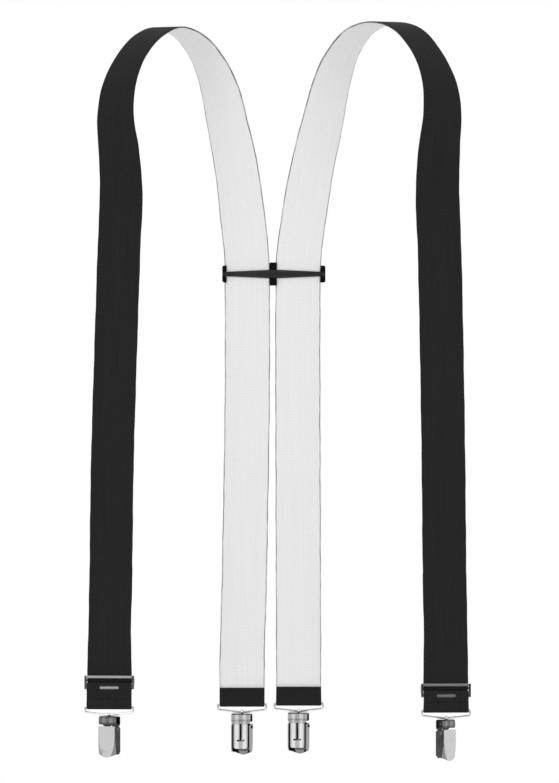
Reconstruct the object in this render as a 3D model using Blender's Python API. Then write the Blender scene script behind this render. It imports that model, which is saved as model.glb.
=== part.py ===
"""Gentleman's suspenders: two webbing straps, a back crosspiece, two adjusters and four clips.

The suspenders hang as they would over a pair of shoulders. +Z is up, -Y is the side of the two
front legs and +X is to the right of someone looking at the front legs. The origin is midway
between the tops of the two shoulder arches. All dimensions below are in millimetres.
"""

import math

import bmesh
import bpy
from mathutils import Matrix, Vector

MM = 0.001

# ---- webbing ------------------------------------------------------------------------------
WEB_WIDTH = 35.0
WEB_THICK = 1.2
PLY_GAP = 0.4          # air left between two plies that are sewn together

# Middle line of each strap from the front leg, over the shoulder, to the back leg. Each row is
# (distance from the middle plane, y, z, turn), where turn is how many degrees the width of the
# webbing is turned about the vertical, with its inner edge towards the front.
LEFT_LINE = [
    (126.0, -29.0, -475, 18), (125.1, -29.0, -432, 18), (123.9, -29.0, -343, 18),
    (121.4, -29.0, -257, 18), (118.8, -29.0, -177, 18), (117.1, -30.5, -124, 19),
    (118.9, -34.5, -96, 27), (121.2, -37.5, -73, 35), (118.9, -36.0, -49, 42),
    (110.0, -27.0, -26, 48), (96.2, -14.5, -9, 49), (81.0, 0.0, -2, 49),
    (65.0, 14.5, -8, 47), (50.3, 27.5, -26, 41), (41.0, 33.5, -49, 32),
    (35.2, 35.5, -75, 24), (28.5, 36.0, -108, 16), (23.4, 36.0, -147, 6),
    (20.0, 36.0, -181, 1), (19.6, 36.0, -211, 0), (19.7, 36.0, -294, 0),
    (20.9, 36.0, -373, 0), (22.3, 36.0, -445, 0), (23.7, 36.0, -495, 0),
]
RIGHT_LINE = [
    (133.9, -29.0, -475, 14), (133.1, -29.0, -432, 14), (132.2, -29.0, -343, 14),
    (130.9, -29.0, -257, 14), (129.2, -29.0, -177, 14), (127.6, -30.5, -124, 15),
    (129.0, -34.5, -94, 24), (131.2, -37.5, -69, 32), (128.9, -36.0, -45, 41),
    (119.6, -27.0, -22, 48), (103.4, -14.5, -3, 49), (86.0, 0.0, 2, 49),
    (68.3, 14.5, -4, 47), (53.6, 27.5, -23, 41), (45.1, 33.5, -47, 32),
    (39.2, 35.5, -73, 24), (30.8, 36.0, -110, 15), (24.6, 36.0, -147, 6),
    (20.3, 36.0, -181, 1), (19.8, 36.0, -211, 0), (19.7, 36.0, -294, 0),
    (19.9, 36.0, -373, 0), (20.1, 36.0, -445, 0), (20.3, 36.0, -495, 0),
]
ARCH_BOTTOM_Z = -190.0   # above this height the strap bends, so its path is stepped finely
ARCH_STEPS = 5
NODE_GAP = 0.3           # air between two nodes that are lengths of the same webbing

# ---- lower ends ---------------------------------------------------------------------------
# Each lower end is built in its own frame: x across the webbing, y from the outer face towards
# the wearer, z up, with z = 0 at the bottom of the webbing's fold around the ring.
WIRE_R = 0.85
FOLD_R = 1.85            # middle of the webbing around the ring's wire
FOLD_Z = FOLD_R + WEB_THICK / 2
FLAP_HEIGHT = 14.8       # sewn flap at each back end

# ---- ring ---------------------------------------------------------------------------------
RING_HALF_WIDTH = 18.75
RING_SIDE_Z = -2.3
BOW_Z = -4.0
EYE_R = 1.5
EYE_HOLE_R = 1.05
SHANK_R = 1.0
HEAD_R = 1.7
RING_SIDES = 10

# ---- adjuster -----------------------------------------------------------------------------
BAR_THICK = 1.4
TOP_BAR_Z = 25.0
TOP_BAR_HEIGHT = 2.2
TOP_BAR_Y = -1.7
MIDDLE_BAR_Z = 22.4
MIDDLE_BAR_R = 0.8
TURN_R = 1.75            # middle of the webbing around the middle bar
LOWER_BAR_Z = 16.8
LOWER_BAR_HEIGHT = 2.4
LOWER_BAR_Y = -1.6
ARM_INNER = 18.0
ARM_OUTER = 19.3
TAIL_LENGTH = 90.0
TAIL_LEAN = 2.0          # how much further behind the strap the tail lies above its turn
TAB_HALF_TOP = 1.65      # half distance between the tab's plies around the lower bar
TAB_FOLD_Z = 18.5
TAB_SLOT_HALF_WIDTH = 7.5   # slot in the tab's front ply that shows the lower bar
TAB_SLOT_HALF_HEIGHT = 1.5

# ---- clip ---------------------------------------------------------------------------------
# Clip frame: z = 0 on the top of its neck, x across, y from the cover towards the wearer.
NECK_Z = -5.2            # height of the clip's frame in the lower end's frame
SHEET = 0.9
NECK_HALF_WIDTH = 7.7
NECK_FRONT_Y = -3.6
SKIRT_Z = -6.5          # bottom of the neck in front
REAR_SKIRT_Z = -8.1     # bottom of its full width behind
PLATE_Y = 2.3
PLATE_HALF_WIDTH = 5.7
PLATE_BOTTOM_Z = -27.4
PIN_Y = -2.0
PIN_Z = -10.5
PIN_R = 0.75
PIN_HOLE_R = 0.95
EAR_THICK = 0.8
SLOT_TOP_Z = -7.5         # the spring tongue in the back plate is cut free by a T-shaped slot
SLOT_FOOT_Z = -20.5
COVER_FRONT_Y = -4.6
COVER_WALL = 0.8
COVER_TOP_Z = -7.9
COVER_SHOULDER_Z = -29.2
COVER_TIP_Z = -32.4
COVER_CORNERS = [         # (z, how far its front corners are cut back across and in depth)
    (COVER_TOP_Z, 0.5, 0.5), (-16.0, 0.5, 0.5), (-21.0, 0.8, 0.6), (-25.0, 1.7, 1.0),
    (-28.5, 3.0, 1.7), (COVER_TIP_Z - 1.0, 5.8, 3.2),
]
COVER_REAR_Y = 3.3
JAW_HALF_WIDTH = 4.5
CLIP_Y = 0.6             # brings the clip's weight under the ring's wire

# ---- crosspiece ---------------------------------------------------------------------------
CROSS_X = 1.0
CROSS_Y = 36.0
CROSS_Z = -192.7
CROSS_HALF_WIDTH = 40.1
CROSS_END_HALF_HEIGHT = 6.6
CROSS_TAB_X = -0.3       # the upright tab in the middle
CROSS_TAB_HALF_WIDTH = 2.7
CROSS_TAB_HALF_HEIGHT = 9.0
CROSS_WALL_INNER = 38.9  # walls beside the straps' outer edges
CROSS_LIP_INNER = 36.7   # lips in front of those edges
CROSS_BAR_END = 1.6
CROSS_BAR_MIDDLE = 3.4
CHANNEL_Y = 0.95         # half depth of the channel that a strap runs through
LIP_FRONT_Y = -2.3
BAR_FRONT_Y = -1.9
RIDGE_FRONT_Y = -2.9
PLATE_REAR_Y = 2.6

# Each side of the body: which way is outwards, the strap's line, the height of its front fold and
# its back fold, how far the adjuster hangs below its usual height over the front fold, how far
# the front end is turned outwards, and how far each clip has swung round on its swivel.
SIDES = {
    "left": {"out": -1, "line": LEFT_LINE, "front_z": -529.7, "back_z": -529.0,
             "adjuster_drop": 0.0, "front_turn": 8, "front_swing": -22, "back_swing": -17},
    "right": {"out": 1, "line": RIGHT_LINE, "front_z": -532.3, "back_z": -528.2,
              "adjuster_drop": 3.6, "front_turn": 7, "front_swing": 43, "back_swing": -17},
}

# ---- colours ------------------------------------------------------------------------------
LOOKS = {
    "webbing": ((0.02, 0.02, 0.022), 0.9, 0.0),
    "nickel": ((0.75, 0.75, 0.74), 0.22, 1.0),
    "plastic": ((0.03, 0.03, 0.033), 0.45, 0.0),
}


# ---- building blocks ----------------------------------------------------------------------
def material(name, look):
    """A material of one object's own."""
    colour, roughness, metallic = LOOKS[look]
    made = bpy.data.materials.new(name)
    made.use_nodes = True
    shader = made.node_tree.nodes["Principled BSDF"]
    shader.inputs["Base Color"].default_value = (*colour, 1.0)
    shader.inputs["Roughness"].default_value = roughness
    shader.inputs["Metallic"].default_value = metallic
    return made


def mesh_object(name, points, faces):
    """A mesh object from points in millimetres, with its faces turned outwards."""
    mesh = bpy.data.meshes.new(name)
    mesh.from_pydata([Vector(p) * MM for p in points], [], faces)
    shape = bmesh.new()
    shape.from_mesh(mesh)
    bmesh.ops.recalc_face_normals(shape, faces=shape.faces)
    shape.to_mesh(mesh)
    shape.free()
    made = bpy.data.objects.new(name, mesh)
    bpy.context.collection.objects.link(made)
    return made


def sweep(name, sections, closed):
    """A solid through cross-sections of equal point counts, either capped or closed in a loop."""
    count = len(sections[0])
    points = [p for section in sections for p in section]
    faces = []
    spans = len(sections) if closed else len(sections) - 1
    for i in range(spans):
        here = i * count
        there = (i + 1) % len(sections) * count
        for j in range(count):
            k = (j + 1) % count
            faces.append((here + j, here + k, there + k, there + j))
    if not closed:
        faces.append(tuple(range(count)))
        faces.append(tuple(len(points) - count + j for j in range(count)))
    return mesh_object(name, points, faces)


def plate_xz(name, outline, y_from, y_to, inset=1.0):
    """An outline in x and z, given depth along y; inset scales the outline at y_from."""
    near = [(x * inset, y_from, z * inset) for x, z in outline]
    far = [(x, y_to, z) for x, z in outline]
    return sweep(name, [near, far], closed=False)


def plate_yz(name, outline, x_from, x_to):
    """An outline in y and z, given width along x."""
    one = [(x_from, y, z) for y, z in outline]
    other = [(x_to, y, z) for y, z in outline]
    return sweep(name, [one, other], closed=False)


def block(name, low, high):
    """A box between two corners."""
    outline = [(low[0], low[2]), (high[0], low[2]), (high[0], high[2]), (low[0], high[2])]
    return plate_xz(name, outline, low[1], high[1])


def disc(name, centre, radius, x_from, x_to, sides=16):
    """A cylinder along x around a centre given as (y, z)."""
    outline = []
    for i in range(sides):
        angle = 2 * math.pi * i / sides
        outline.append((centre[0] + radius * math.cos(angle), centre[1] + radius * math.sin(angle)))
    return plate_yz(name, outline, x_from, x_to)


def turned(name, profile, sides=16):
    """A solid of revolution about z; profile rows are (radius, z) from one end to the other."""
    sections = []
    for radius, z in profile:
        ring = []
        for i in range(sides):
            angle = 2 * math.pi * i / sides
            ring.append((radius * math.cos(angle), radius * math.sin(angle), z))
        sections.append(ring)
    return sweep(name, sections, closed=False)


def boolean(target, tool, operation):
    """Joins a tool to a target or cuts it out, and removes the tool."""
    step = target.modifiers.new(operation.lower(), "BOOLEAN")
    step.operation = operation
    step.solver = "EXACT"
    step.object = tool
    graph = bpy.context.evaluated_depsgraph_get()
    result = bpy.data.meshes.new_from_object(target.evaluated_get(graph))
    target.modifiers.clear()
    target.data = result
    bpy.data.objects.remove(tool)


def join(target, *tools):
    for tool in tools:
        boolean(target, tool, "UNION")


def cut(target, *tools):
    for tool in tools:
        boolean(target, tool, "DIFFERENCE")


def finish(made, look, place, pivot, smooth=False):
    """Moves a part from its own frame to the world, with its origin on its joint's axis."""
    world_pivot = place @ (Vector(pivot) * MM)
    made.data.transform(Matrix.Translation(-world_pivot) @ place)
    made.location = world_pivot
    made.data.materials.clear()
    made.data.materials.append(material(made.name, look))
    for face in made.data.polygons:
        face.use_smooth = smooth


# ---- webbing ------------------------------------------------------------------------------
def smooth_line(rows, steps):
    """A smooth curve through rows of numbers; steps[i] is how many steps follow row i."""
    rows = [Vector(row) for row in rows]
    gaps = [(rows[i + 1] - rows[i]).length for i in range(len(rows) - 1)]
    slopes = [(rows[1] - rows[0]) / gaps[0]]
    for i in range(1, len(rows) - 1):
        before = (rows[i] - rows[i - 1]) / gaps[i - 1]
        after = (rows[i + 1] - rows[i]) / gaps[i]
        slopes.append((before * gaps[i] + after * gaps[i - 1]) / (gaps[i - 1] + gaps[i]))
    slopes.append((rows[-1] - rows[-2]) / gaps[-1])
    line = []
    for i, gap in enumerate(gaps):
        for step in range(steps[i]):
            t = step / steps[i]
            start = rows[i] * (2 * t ** 3 - 3 * t ** 2 + 1)
            leave = slopes[i] * gap * (t ** 3 - 2 * t ** 2 + t)
            end = rows[i + 1] * (3 * t ** 2 - 2 * t ** 3)
            arrive = slopes[i + 1] * gap * (t ** 3 - t ** 2)
            line.append(start + leave + end + arrive)
    line.append(rows[-1])
    return line


def webbing(name, line, widths, closed=False):
    """Webbing along a line of points; widths gives the way its width lies at each point."""
    sections = []
    last = len(line) - 1
    for i, point in enumerate(line):
        before = line[i - 1] if i > 0 or closed else point
        after = line[(i + 1) % len(line)] if i < last or closed else point
        along = (after - before).normalized()
        across = (widths[i] - along * widths[i].dot(along)).normalized() * WEB_WIDTH / 2
        through = across.cross(along).normalized() * WEB_THICK / 2
        sections.append([point + across + through, point - across + through,
                         point - across - through, point + across - through])
    return sweep(name, sections, closed)


def arc(centre, radius, start, end, steps):
    """Points in y and z on an arc, for angles in degrees from +y towards +z."""
    found = []
    for i in range(steps + 1):
        angle = math.radians(start + (end - start) * i / steps)
        found.append((centre[0] + radius * math.cos(angle), centre[1] + radius * math.sin(angle)))
    return found


def back_fold():
    """The strap's path at a back end: down, around the ring's wire and up as the sewn flap."""
    flap_y = WEB_THICK + PLY_GAP
    wire_y = flap_y / 2
    path = [(0.0, 12.0), (0.0, 8.5), (wire_y - FOLD_R + 0.35, 5.0)]
    path += arc((wire_y, FOLD_Z), FOLD_R, 180, 360, 8)
    path += [(wire_y + FOLD_R - 0.35, 5.0), (flap_y, 8.5), (flap_y, FLAP_HEIGHT)]
    return path


def end_place(side, end):
    """The frame of a lower end: x across the webbing, y towards the wearer and z up."""
    facts = SIDES[side]
    row = facts["line"][0] if end == "front" else facts["line"][-1]
    location = Vector((facts["out"] * row[0], row[1], facts[end + "_z"])) * MM
    turn = facts["out"] * math.radians(facts["front_turn"]) if end == "front" else math.pi
    return Matrix.Translation(location) @ Matrix.Rotation(turn, 4, "Z")


def adjuster_place(side):
    """The frame of a front end, lowered by as much as the adjuster hangs lower on this side."""
    drop = Vector((0.0, 0.0, -SIDES[side]["adjuster_drop"])) * MM
    return end_place(side, "front") @ Matrix.Translation(drop)


def shortened(line):
    """A line of points with half of the gap between two nodes taken off each end."""
    first = (line[1] - line[0]).normalized() * NODE_GAP / 2
    last = (line[-2] - line[-1]).normalized() * NODE_GAP / 2
    return [line[0] + first] + line[1:-1] + [line[-1] + last]


def strap(side):
    """The long webbing, from the front adjuster over the shoulder to the flap of the back end.

    It is one length of webbing. Its front leg, its arch and its back leg are nodes of their own,
    each of which is simple enough for close collision shapes.
    """
    facts = SIDES[side]
    out = facts["out"]
    first = facts["line"][0]
    last = facts["line"][-1]
    start_z = facts["front_z"] - facts["adjuster_drop"] + MIDDLE_BAR_Z
    rows = [(first[0], first[1], start_z, facts["front_turn"])] + facts["line"]
    rows.append((last[0], last[1], facts["back_z"] + 16.0, last[3]))
    steps = []
    for here, there in zip(rows, rows[1:]):
        steps.append(ARCH_STEPS if min(here[2], there[2]) > ARCH_BOTTOM_Z else 1)
    line = []
    widths = []
    for distance, y, z, turn in smooth_line(rows, steps):
        line.append(Vector((out * distance, y, z)))
        angle = math.radians(turn)
        widths.append(Vector((-out * math.cos(angle), -math.sin(angle), 0.0)))
    for y, z in back_fold():
        line.append(Vector((out * last[0], last[1] - y, facts["back_z"] + z)))
        widths.append(Vector((-out, 0.0, 0.0)))
    raised = [i for i, point in enumerate(line) if point.z > ARCH_BOTTOM_Z]
    rise = raised[0]
    fall = raised[-1] + 1
    for part, start, end in (("front", 0, rise), ("arch", rise, fall), ("back", fall, None)):
        stop = None if end is None else end + 1
        made = webbing(side + "_strap_" + part, shortened(line[start:stop]), widths[start:stop])
        finish(made, "webbing", Matrix.Identity(4), (0, 0, 0))


def strap_turn(side, place):
    """The end of the webbing that turns round the adjuster's middle bar, and its free tail.

    The tail follows the twist of the strap in front of it and leans away from it, so that it stays
    clear of the strap while the adjuster slides.
    """
    facts = SIDES[side]
    row = facts["line"][0]
    twist = facts["out"] * math.radians(row[3] - facts["front_turn"])
    twisted_z = row[2] - facts["front_z"] + facts["adjuster_drop"]
    path = arc((TURN_R, MIDDLE_BAR_Z), TURN_R, 180, 360, 8)
    line = [Vector((0.0, y, z)) for y, z in path]
    widths = [Vector((1, 0, 0))] * len(line)
    behind = 2 * TURN_R + TAIL_LEAN
    square = facts["out"] * math.radians(facts["front_turn"])
    for z in (twisted_z, MIDDLE_BAR_Z + TAIL_LENGTH):
        line.append(Vector((behind * math.sin(square), behind * math.cos(square), z)))
        widths.append(Vector((math.cos(twist), math.sin(twist), 0.0)))
    made = webbing(side + "_strap_turn", shortened(line), widths)
    finish(made, "webbing", place, (0, TURN_R, MIDDLE_BAR_Z))


def ring_tab(side, place):
    """The short webbing tab sewn round the adjuster's lower bar and the ring's wire."""
    drop = SIDES[side]["adjuster_drop"]
    pinch = (WEB_THICK + PLY_GAP) / 2
    top = TAB_FOLD_Z - drop
    path = arc((0, top), TAB_HALF_TOP, 0, 180, 8)
    path += [(-1.5, top - 2.9), (-pinch, top - 5.4), (-pinch, 7.5), (-1.5, 5.0)]
    path += arc((0, FOLD_Z), FOLD_R, 180, 360, 8)
    path += [(1.5, 5.0), (pinch, 7.5), (pinch, top - 5.4), (1.5, top - 2.9)]
    line = [Vector((0.0, LOWER_BAR_Y + y, z)) for y, z in path]
    made = webbing(side + "_ring_tab", line, [Vector((1, 0, 0))] * len(line), closed=True)
    half = TAB_SLOT_HALF_WIDTH
    tall = TAB_SLOT_HALF_HEIGHT
    bar_z = LOWER_BAR_Z - drop
    cut(made, block("slot", (-half, LOWER_BAR_Y - 4, bar_z - tall),
                    (half, LOWER_BAR_Y - 0.6, bar_z + tall)))
    finish(made, "webbing", place, (0, LOWER_BAR_Y, bar_z))


# ---- adjuster -----------------------------------------------------------------------------
def bar(name, y, z, thick, height, half_width):
    """A straight bar of the adjuster with its four long edges cut off."""
    c = 0.35
    h = height / 2
    t = thick / 2
    outline = [(t, h - c), (t - c, h), (c - t, h), (-t, h - c),
               (-t, c - h), (c - t, -h), (t - c, -h), (t, c - h)]
    return plate_yz(name, [(y + a, z + b) for a, b in outline], -half_width, half_width)


def adjuster_frame(side, place):
    """Three bars between two side arms; the strap turns round the middle one."""
    top = TOP_BAR_Z + TOP_BAR_HEIGHT / 2
    low = LOWER_BAR_Z - LOWER_BAR_HEIGHT / 2
    outline = [(-2.1, top), (-2.4, top - 0.4), (-2.5, LOWER_BAR_Z), (-2.1, low), (-0.9, low),
               (0.4, LOWER_BAR_Z + 1.5), (2.7, MIDDLE_BAR_Z - 0.8), (2.7, MIDDLE_BAR_Z + 0.8),
               (1.6, MIDDLE_BAR_Z + 1.6), (-0.6, top)]
    made = plate_yz(side + "_adjuster_frame", outline, ARM_INNER, ARM_OUTER)
    reach = ARM_INNER + 0.8
    join(made,
         plate_yz("arm", outline, -ARM_OUTER, -ARM_INNER),
         bar("top", TOP_BAR_Y, TOP_BAR_Z, BAR_THICK, TOP_BAR_HEIGHT, reach),
         disc("middle", (TURN_R, MIDDLE_BAR_Z), MIDDLE_BAR_R, -reach, reach, sides=12),
         bar("lower", LOWER_BAR_Y, LOWER_BAR_Z, BAR_THICK, LOWER_BAR_HEIGHT, reach))
    finish(made, "nickel", place, (0, TURN_R, MIDDLE_BAR_Z))


# ---- ring and swivel ----------------------------------------------------------------------
def rounded_loop(corners, steps):
    """A closed path in x and z; each corner row is (x, z, length cut back on each side)."""
    path = []
    count = len(corners)
    for i, (x, z, back) in enumerate(corners):
        here = Vector((x, z))
        before = Vector(corners[i - 1][:2]) - here
        after = Vector(corners[(i + 1) % count][:2]) - here
        start = here + before.normalized() * back
        end = here + after.normalized() * back
        for step in range(steps + 1):
            t = step / steps
            path.append(start * (1 - t) ** 2 + here * 2 * t * (1 - t) + end * t ** 2)
    return path


def ring(prefix, place, wire_y):
    """The wire ring: its top bar lies in the webbing's fold and its bow carries the swivel."""
    w = RING_HALF_WIDTH
    corners = [(-w, FOLD_Z, 1.6), (w, FOLD_Z, 1.6), (w, RING_SIDE_Z, 1.6),
               (9.0, BOW_Z + 0.6, 4.0), (0.0, BOW_Z - 0.2, 3.0), (-9.0, BOW_Z + 0.6, 4.0),
               (-w, RING_SIDE_Z, 1.6)]
    path = rounded_loop(corners, 3)
    sections = []
    for i, point in enumerate(path):
        along = (path[(i + 1) % len(path)] - path[i - 1]).normalized()
        outward = Vector((along.y, -along.x))
        section = []
        for j in range(RING_SIDES):
            angle = 2 * math.pi * j / RING_SIDES
            spread = outward * WIRE_R * math.cos(angle)
            section.append((point.x + spread.x, wire_y + WIRE_R * math.sin(angle),
                            point.y + spread.y))
        sections.append(section)
    made = sweep(prefix + "_ring", sections, closed=True)
    finish(made, "nickel", place, (0, wire_y, FOLD_Z), smooth=True)


def swivel(prefix, place, wire_y):
    """The swivel rivet: an eye on the ring's bow, a shank through the neck and a head inside."""
    under = NECK_Z - SHEET
    profile = []
    for degrees in (86, 60, 35, 10, -15, -40):
        angle = math.radians(degrees)
        profile.append((EYE_R * math.cos(angle), BOW_Z + EYE_R * math.sin(angle)))
    profile += [(SHANK_R, BOW_Z - 1.15), (SHANK_R, under - 0.3), (HEAD_R, under - 0.3),
                (HEAD_R, under - 0.8), (HEAD_R - 0.5, under - 1.1)]
    made = turned(prefix + "_swivel", profile)
    cut(made, disc("eye_hole", (0, BOW_Z), EYE_HOLE_R, -4, 4, sides=12))
    made.data.transform(Matrix.Translation(Vector((0, wire_y, 0)) * MM))
    finish(made, "nickel", place, (0, wire_y, BOW_Z))


# ---- clip ---------------------------------------------------------------------------------
def rounded_outline(rows):
    """An outline whose corners are cut: each row is (x, z, cut)."""
    outline = []
    for i, (x, z, back) in enumerate(rows):
        here = Vector((x, z))
        if back == 0:
            outline.append((x, z))
            continue
        before = (Vector(rows[i - 1][:2]) - here).normalized() * back
        after = (Vector(rows[(i + 1) % len(rows)][:2]) - here).normalized() * back
        for t in (0.0, 0.5, 1.0):
            point = here + before * (1 - t) ** 2 + after * t ** 2
            outline.append((point.x, point.y))
    return outline


def clip_body(prefix, place):
    """Neck and back plate in one folded sheet, with two ears that carry the pin."""
    w = NECK_HALF_WIDTH
    rear = PLATE_Y + SHEET
    hook = [(NECK_FRONT_Y + 0.5, SKIRT_Z), (NECK_FRONT_Y, SKIRT_Z + 1.6), (NECK_FRONT_Y, -2.2),
            (NECK_FRONT_Y + 0.3, -0.9), (NECK_FRONT_Y + 1.2, 0.0),
            (rear - 0.9, 0.0), (rear, -0.9), (rear, REAR_SKIRT_Z), (PLATE_Y, REAR_SKIRT_Z),
            (PLATE_Y, -1.2), (PLATE_Y - 0.3, -SHEET), (NECK_FRONT_Y + SHEET + 0.2, -SHEET),
            (NECK_FRONT_Y + SHEET, -2.0), (NECK_FRONT_Y + SHEET, SKIRT_Z + 1.6),
            (NECK_FRONT_Y + SHEET + 0.4, SKIRT_Z)]
    made = plate_yz(prefix + "_clip_body", hook, -w, w)
    face = rounded_outline([(-w, REAR_SKIRT_Z, 2.2), (w, REAR_SKIRT_Z, 2.2), (w, 0.0, 0.8),
                            (-w, 0.0, 0.8)])
    boolean(made, plate_xz("face", face, -6, 6), "INTERSECT")
    p = PLATE_HALF_WIDTH
    plate = rounded_outline([(-p, PLATE_BOTTOM_Z, 1.5), (p, PLATE_BOTTOM_Z, 1.5), (p, -4.0, 0),
                             (-p, -4.0, 0)])
    ear = [(PLATE_Y + 0.5, PIN_Z - 4.3), (PIN_Y, PIN_Z - 1.5), (PIN_Y - 1.1, PIN_Z - 1.1),
           (PIN_Y - 1.5, PIN_Z), (PIN_Y - 1.1, PIN_Z + 1.1), (PIN_Y, PIN_Z + 1.5),
           (PLATE_Y + 0.5, PIN_Z + 1.5)]
    join(made,
         plate_xz("plate", plate, PLATE_Y, rear),
         plate_yz("ear", ear, p - EAR_THICK, p),
         plate_yz("ear", ear, -p, EAR_THICK - p))
    stem = turned("stem_hole", [(1.3, -3.0), (1.3, 3.0)])
    stem.data.transform(Matrix.Translation(Vector((0, -CLIP_Y, 0)) * MM))
    cut(made,
        stem,
        disc("pin_hole", (PIN_Y, PIN_Z), PIN_HOLE_R, -9, 9, sides=12),
        block("slot", (-0.9, 1, SLOT_FOOT_Z), (0.9, 5, SLOT_TOP_Z)),
        block("foot", (-3.2, 1, SLOT_FOOT_Z - 1.2), (3.2, 5, SLOT_FOOT_Z + 0.1)))
    finish(made, "nickel", place, (0, -CLIP_Y, 0))


def clip_lever(prefix, place):
    """The cover: a channel turning on the pin, with a pointed tip to pull it open by."""
    w = NECK_HALF_WIDTH
    wall = COVER_WALL
    front_y = COVER_FRONT_Y
    sections = []
    for z, across, deep in COVER_CORNERS:
        inner_across = max(across - 0.35, 0.1)
        inner_deep = max(deep - 0.35, 0.1)
        channel = [(-w, COVER_REAR_Y), (-w, front_y + deep), (across - w, front_y),
                   (w - across, front_y), (w, front_y + deep), (w, COVER_REAR_Y),
                   (w - wall, COVER_REAR_Y), (w - wall, front_y + wall + inner_deep),
                   (w - wall - inner_across, front_y + wall),
                   (wall + inner_across - w, front_y + wall),
                   (wall - w, front_y + wall + inner_deep), (wall - w, COVER_REAR_Y)]
        sections.append([(x, y, z) for x, y in channel])
    made = sweep(prefix + "_clip_lever", sections, closed=False)
    over = w + 1
    front = rounded_outline([(-over, 0, 0), (-over, COVER_SHOULDER_Z, 1.0), (0, COVER_TIP_Z, 1.5),
                             (over, COVER_SHOULDER_Z, 1.0), (over, 0, 0)])
    low = COVER_SHOULDER_Z + 0.6
    beside = [(-8, -5), (-8, -35), (1.0 - COVER_REAR_Y, -35), (COVER_REAR_Y - 1.0, low),
              (COVER_REAR_Y + 1.0, low + 2.4), (COVER_REAR_Y + 1.0, COVER_TOP_Z - 2.2),
              (COVER_REAR_Y - 1.8, -8)]
    boolean(made, plate_xz("front", front, -9, 9), "INTERSECT")
    boolean(made, plate_yz("beside", beside, -over, over), "INTERSECT")
    cut(made, disc("pin_hole", (PIN_Y, PIN_Z), PIN_HOLE_R, -9, 9, sides=12))
    finish(made, "nickel", place, (0, PIN_Y, PIN_Z))


def clip_jaw(prefix, place):
    """The toothed jaw that the cover presses against the back plate."""
    w = JAW_HALF_WIDTH
    foot = PLATE_BOTTOM_Z + 1.4
    blade = [(PIN_Y - 0.5, PIN_Z - 0.6), (PIN_Y + 0.5, PIN_Z - 0.9), (1.1, foot + 2.6),
             (PLATE_Y - 0.35, foot + 1.0), (PLATE_Y - 0.35, foot), (0.6, foot), (-0.1, foot + 1.8)]
    made = plate_yz(prefix + "_clip_jaw", blade, -w, w)
    join(made, disc("knuckle", (PIN_Y, PIN_Z), 1.6, -w, w, sides=16))
    cut(made, disc("pin_hole", (PIN_Y, PIN_Z), PIN_HOLE_R, -9, 9, sides=12))
    gap = 2 * w / 9
    for i in range(4):
        left = -w + gap * (2 * i + 1)
        cut(made, block("gap", (left, 0.9, foot - 0.6), (left + gap, 2.6, foot + 1.3)))
    finish(made, "nickel", place, (0, PIN_Y, PIN_Z))


def clip_pin(prefix, place):
    """The pin through the cover, the ears and the jaw, spread at both ends."""
    half = NECK_HALF_WIDTH
    profile = [(0.8, -half - 0.8), (1.4, -half - 0.5), (1.4, -half - 0.3), (PIN_R, -half - 0.3),
               (PIN_R, half + 0.3), (1.4, half + 0.3), (1.4, half + 0.5), (0.8, half + 0.8)]
    made = turned(prefix + "_clip_pin", profile, sides=12)
    made.data.transform(Matrix.Rotation(math.pi / 2, 4, "Y"))
    made.data.transform(Matrix.Translation(Vector((0, PIN_Y, PIN_Z)) * MM))
    finish(made, "nickel", place, (0, PIN_Y, PIN_Z))


def lower_end(side, end):
    """A ring, its swivel and the clip that turns on it."""
    place = end_place(side, end)
    prefix = end + "_" + side
    wire_y = LOWER_BAR_Y if end == "front" else (WEB_THICK + PLY_GAP) / 2
    ring(prefix, place, wire_y)
    swivel(prefix, place, wire_y)
    swing = Matrix.Rotation(math.radians(SIDES[side][end + "_swing"]), 4, "Z")
    on_swivel = Matrix.Translation(Vector((0, wire_y, NECK_Z)) * MM)
    clip_place = place @ on_swivel @ swing @ Matrix.Translation(Vector((0, CLIP_Y, 0)) * MM)
    for build in (clip_body, clip_lever, clip_jaw, clip_pin):
        build(prefix, clip_place)


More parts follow.
